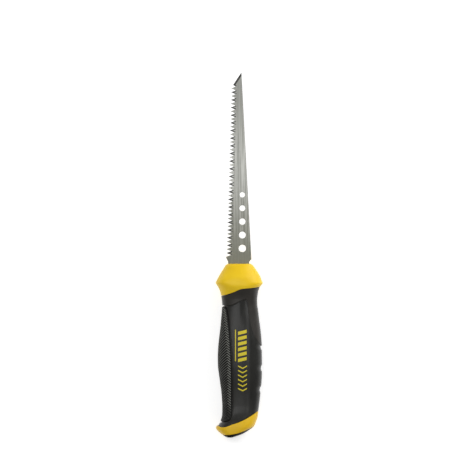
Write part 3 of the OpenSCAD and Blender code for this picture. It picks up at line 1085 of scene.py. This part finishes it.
def patch(corners, side, along, across):
    """Thin raised patch on the palm pad's face between four (x, y) corners."""
    u = np.linspace(0, 1, along)[:, None, None]
    v = np.linspace(0, 1, across)[None, :, None]
    a, b, c, d = np.array(corners, float)
    flat = (a * (1 - u) + b * u) * (1 - v) + (d * (1 - u) + c * u) * v
    x, y = flat[..., 0], flat[..., 1]
    angle = angle_at(x, y) * side
    raised = np.full(angle.shape, MARK_EDGE)
    raised[1:-1, 1:-1] = MARK_RAISED
    outer = skin(angle, y, raised - palm_drop(x))
    inner = skin(angle, y, MARK_ROOT - palm_drop(x))
    return outer, inner


def patches_piece(name, areas, material, along=10, across=6):
    """One piece of all the patches, on the upper and on the lower face."""
    points, faces = [], []
    total = 0
    for corners in areas:
        for side in (1, -1):
            own, group = shell_faces(*patch(corners, side, along, across))
            faces += [g + total for g in group]
            points.append(own)
            total += len(own)
    return make_piece(name, np.concatenate(points), faces, [material], 60)


MARK_LEFT, MARK_RIGHT = -0.9, 6.3
BAR_TOP = -56.6
BAR_END = -80.4
HEAVY_STEP = 4.1            # the slanted bars below each other
HEAVY_WIDTH = 2.5
HEAVY_SLANT = 1.6
LIGHT_TOP = -83.6
LIGHT_STEP = 3.4            # the chevrons below each other
LIGHT_WIDTH = 0.95
LIGHT_SLANT = 1.8


def mark_areas():
    """A slim bar, a row of heavy slanted bars, and a row of light chevrons."""
    bar = [[(-3.2, BAR_TOP), (-3.2, BAR_END), (-2.5, BAR_END), (-2.5, BAR_TOP)]]
    heavy = []
    right = MARK_RIGHT - 0.6
    for i in range(6):
        y = BAR_TOP - HEAVY_STEP * i
        heavy.append([(MARK_LEFT, y - HEAVY_SLANT), (right, y), (right, y - HEAVY_WIDTH),
                      (MARK_LEFT, y - HEAVY_WIDTH - HEAVY_SLANT)])
    light = []
    middle = (MARK_LEFT + MARK_RIGHT) / 2
    right = MARK_RIGHT - 0.4
    for i in range(6):
        y = LIGHT_TOP - LIGHT_STEP * i
        low = y - LIGHT_SLANT
        light.append([(MARK_LEFT, y), (middle, low), (middle, low - LIGHT_WIDTH),
                      (MARK_LEFT, y - LIGHT_WIDTH)])
        light.append([(middle, low), (right, y), (right, y - LIGHT_WIDTH),
                      (middle, low - LIGHT_WIDTH)])
    return bar, heavy, light


# ---- scene ------------------------------------------------

def dress_cad_node(name, material):
    """Gives a carried-over CAD node its material."""
    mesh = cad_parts[name].data
    for i in range(len(mesh.materials)):
        mesh.materials[i] = material
    if not mesh.materials:
        mesh.materials.append(material)


def build_saw():
    plate, ground = steel_plate(), steel_ground()
    yellow = yellow_plastic("yellow_plastic", (0.85, 0.555, 0.010), (0.89, 0.605, 0.016))
    butt_yellow = yellow_plastic("butt_yellow", (0.72, 0.44, 0.009), (0.78, 0.49, 0.013))
    sleeve_rubber = rubber("grip_rubber", (0.022, 0.020, 0.0165), (0.030, 0.027, 0.023), 0.34, 0.46)
    palm_rubber = rubber("palm_rubber", (0.012, 0.012, 0.0105), (0.019, 0.019, 0.0165), 0.29, 0.4)
    pad_rubber = textured_rubber()
    cap_rubber = rubber("cap_rubber", (0.003, 0.003, 0.003), (0.006, 0.006, 0.005), 0.55, 0.7, 0.15)
    place(make_blade(plate, ground), "blade_steel", "blade")
    place(make_bolster(yellow), "yellow_plastic", "bolster")
    place(make_sleeve(sleeve_rubber), "grip_rubber", "grip_sleeve")
    place(make_palm_pad(palm_rubber), "grip_rubber", "palm_pad")
    place(make_finger_pad(pad_rubber), "textured_rubber", "finger_pad")
    place(make_pommel(butt_yellow), "yellow_plastic", "pommel")
    place(make_cap(cap_rubber), "cap_rubber", "butt_cap")
    ink = printed_yellow()
    bar, heavy, light = mark_areas()
    place(patches_piece("grip_mark_bar", bar, ink, 40, 3), "yellow_plastic")
    place(patches_piece("grip_mark_heavy", heavy, ink), "yellow_plastic")
    place(patches_piece("grip_mark_light", light, ink), "yellow_plastic")
    core, metal = core_plastic(), zinc()
    for name in ("core_lower", "core_upper"):
        dress_cad_node(name, core)
    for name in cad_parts:
        if name.startswith(("tang_bolt", "sleeve_nut", "butt_screw")):
            dress_cad_node(name, metal)


FLOOR_HALF = 3.0            # metres


def pale_floor():
    r = FLOOR_HALF
    mesh = bpy.data.meshes.new("floor")
    mesh.from_pydata([(-r, -r, 0), (r, -r, 0), (r, r, 0), (-r, r, 0)], [], [(0, 1, 2, 3)])
    p = Paint("floor", specular=0.2)
    p.shader.inputs["Base Color"].default_value = (0.85, 0.85, 0.85, 1)
    p.shader.inputs["Roughness"].default_value = 0.9
    p.shader.inputs["Emission Color"].default_value = (1, 1, 1, 1)
    p.shader.inputs["Emission Strength"].default_value = 0.55
    mesh.materials.append(p.material)
    floor = bpy.data.objects.new("floor", mesh)
    bpy.context.scene.collection.objects.link(floor)


def area_light(name, location, size, power):
    """Light turned to the blade's heel, with its two sides in metres and its power in watts."""
    data = bpy.data.lights.new(name, "AREA")
    data.shape = "RECTANGLE"
    data.size, data.size_y = size
    data.energy = power
    light = bpy.data.objects.new(name, data)
    light.location = location
    light.rotation_euler = (-Vector(location)).to_track_quat("-Z", "Y").to_euler()
    bpy.context.scene.collection.objects.link(light)


def studio():
    """Soft white surroundings with a key light from the palm side and a lamp above."""
    world = bpy.data.worlds.new("studio")
    world.use_nodes = True
    background = world.node_tree.nodes["Background"]
    background.inputs["Color"].default_value = (1, 1, 1, 1)
    background.inputs["Strength"].default_value = 0.36
    scene = bpy.context.scene
    scene.world = world
    area_light("key", (0.8, 0.7, 0.45), (0.7, 1.2), 9.8)
    area_light("top", (-0.35, 0.2, 1.3), (0.3, 1.2), 5.5)
    scene.view_settings.view_transform = "Standard"
    scene.view_settings.look = "None"


PICTURE_MM = 342.4          # width of the picture at the blade's mid-plane
PICTURE_X, PICTURE_Y = -9.96, 21.67     # middle of the picture
SENSOR_MM = 36
CAMERA_FAR = 4000           # a long lens far away, as there is hardly any perspective


def camera():
    """Square to the saw, above the middle of the picture, with the point of the blade up."""
    data = bpy.data.cameras.new("camera")
    data.sensor_width = SENSOR_MM
    data.lens = SENSOR_MM * CAMERA_FAR / PICTURE_MM
    data.clip_end = 20          # metres
    obj = bpy.data.objects.new("camera", data)
    obj.location = (PICTURE_X * MM, PICTURE_Y * MM, (MID_Z + CAMERA_FAR) * MM)
    bpy.context.scene.collection.objects.link(obj)
    bpy.context.scene.camera = obj


build_saw()
pale_floor()
studio()
camera()
